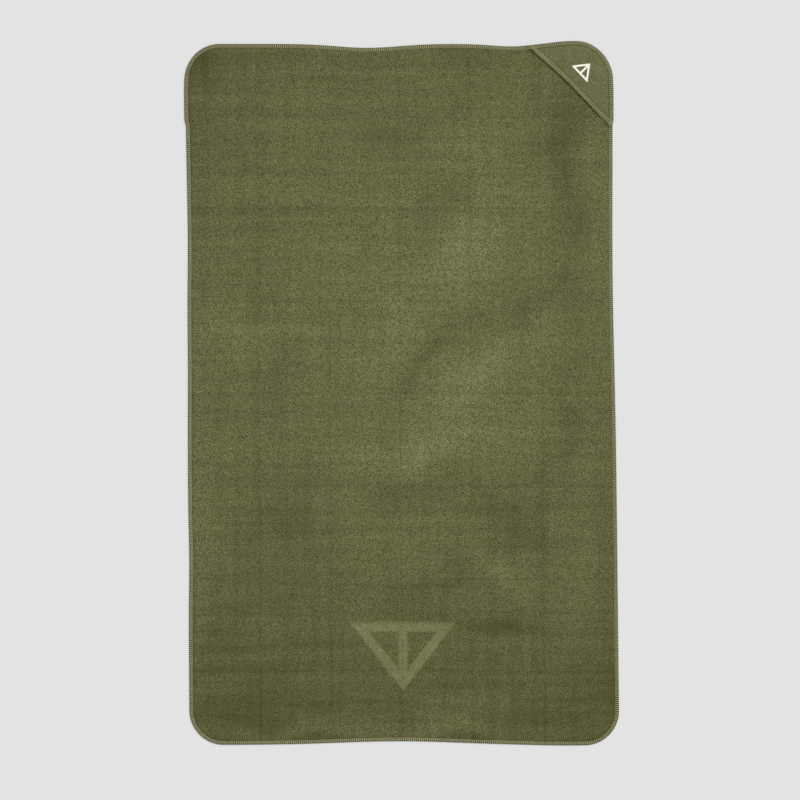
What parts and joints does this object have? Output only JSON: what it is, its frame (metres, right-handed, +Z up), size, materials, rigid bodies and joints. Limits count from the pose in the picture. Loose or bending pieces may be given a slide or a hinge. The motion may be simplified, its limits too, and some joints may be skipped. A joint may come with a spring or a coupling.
{
  "type": "camp towel",
  "caption": "Round-cornered suede microfibre camp towel laid flat, overlocked all round, with corner pockets on face and back, and a fold across its middle.",
  "frame": {"origin": "centre of the underside of the towel, spread out flat", "axes": "+X across the width, +Y along the length away from the near edge, +Z up out of the face"},
  "size_m": [0.61, 1, 0.0033],
  "materials": {
    "suede": "suede microfibre, brushed nap",
    "thread": "spun polyester overlock thread",
    "transfer_film": "heat-transfer film, satin",
    "label_satin": "woven polyester satin"
  },
  "bodies": {
    "near_half": {"sheet_near_half": "suede", "edge_needle_thread_near_half": "thread", "edge_upper_looper_near_half": "thread", "edge_lower_looper_near_half": "thread", "care_label": "label_satin", "care_label_stitching": "thread"},
    "far_half": {"sheet_far_half": "suede", "edge_needle_thread_far_half": "thread", "edge_upper_looper_far_half": "thread", "edge_lower_looper_far_half": "thread", "front_pocket_patch": "suede", "front_pocket_mouth_needle_thread": "thread", "front_pocket_mouth_upper_looper": "thread", "front_pocket_mouth_lower_looper": "thread", "back_pocket_patch": "suede", "back_pocket_mouth_needle_thread": "thread", "back_pocket_mouth_upper_looper": "thread", "back_pocket_mouth_lower_looper": "thread", "front_pocket_mark": "transfer_film"}
  },
  "joints": [
    {"name": "middle_fold", "type": "hinge", "parent": "near_half", "child": "far_half", "pos_m": [0, 0, 0.00272], "axis": [1, 0, 0], "range_deg": [0, 180]}
  ]
}
